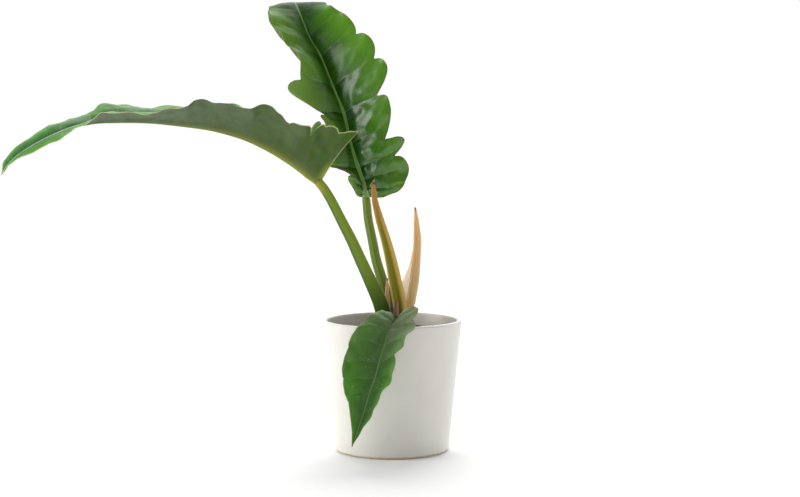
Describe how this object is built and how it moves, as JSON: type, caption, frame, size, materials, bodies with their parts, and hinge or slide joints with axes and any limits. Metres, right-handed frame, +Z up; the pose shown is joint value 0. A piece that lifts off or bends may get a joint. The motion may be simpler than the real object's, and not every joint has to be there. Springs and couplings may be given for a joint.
{
  "type": "potted philodendron",
  "caption": "Philodendron with long wavy-lobed leaves on tall stalks that stand, arch and hang, and papery leaf sheaths, growing from soil in a plain round pot.",
  "frame": {"origin": "centre of the pot's foot, on the surface that it stands on", "axes": "+Z up; -Y towards the front, where the upright leaf shows its glossy face; the long leaf arches to -X"},
  "size_m": [0.4555, 0.2875, 0.456],
  "materials": {
    "blade_upright": "gloss",
    "blade_arching": "satin",
    "blade_hanging": "satin",
    "petiole": "satin",
    "young_sheath": "satin",
    "dry_sheath": "matte",
    "bud": "satin",
    "crown": "matte",
    "soil": "matte",
    "pot": "satin"
  },
  "bodies": {
    "root": {"blade_upright": "blade_upright", "blade_arching": "blade_arching", "blade_hanging": "blade_hanging", "petiole_upright": "petiole", "petiole_arching": "petiole", "petiole_hanging": "petiole", "young_sheath": "young_sheath", "dry_sheath": "dry_sheath", "old_sheath": "dry_sheath", "bud": "bud", "crown": "crown", "soil": "soil", "pot": "pot"}
  },
  "joints": []
}
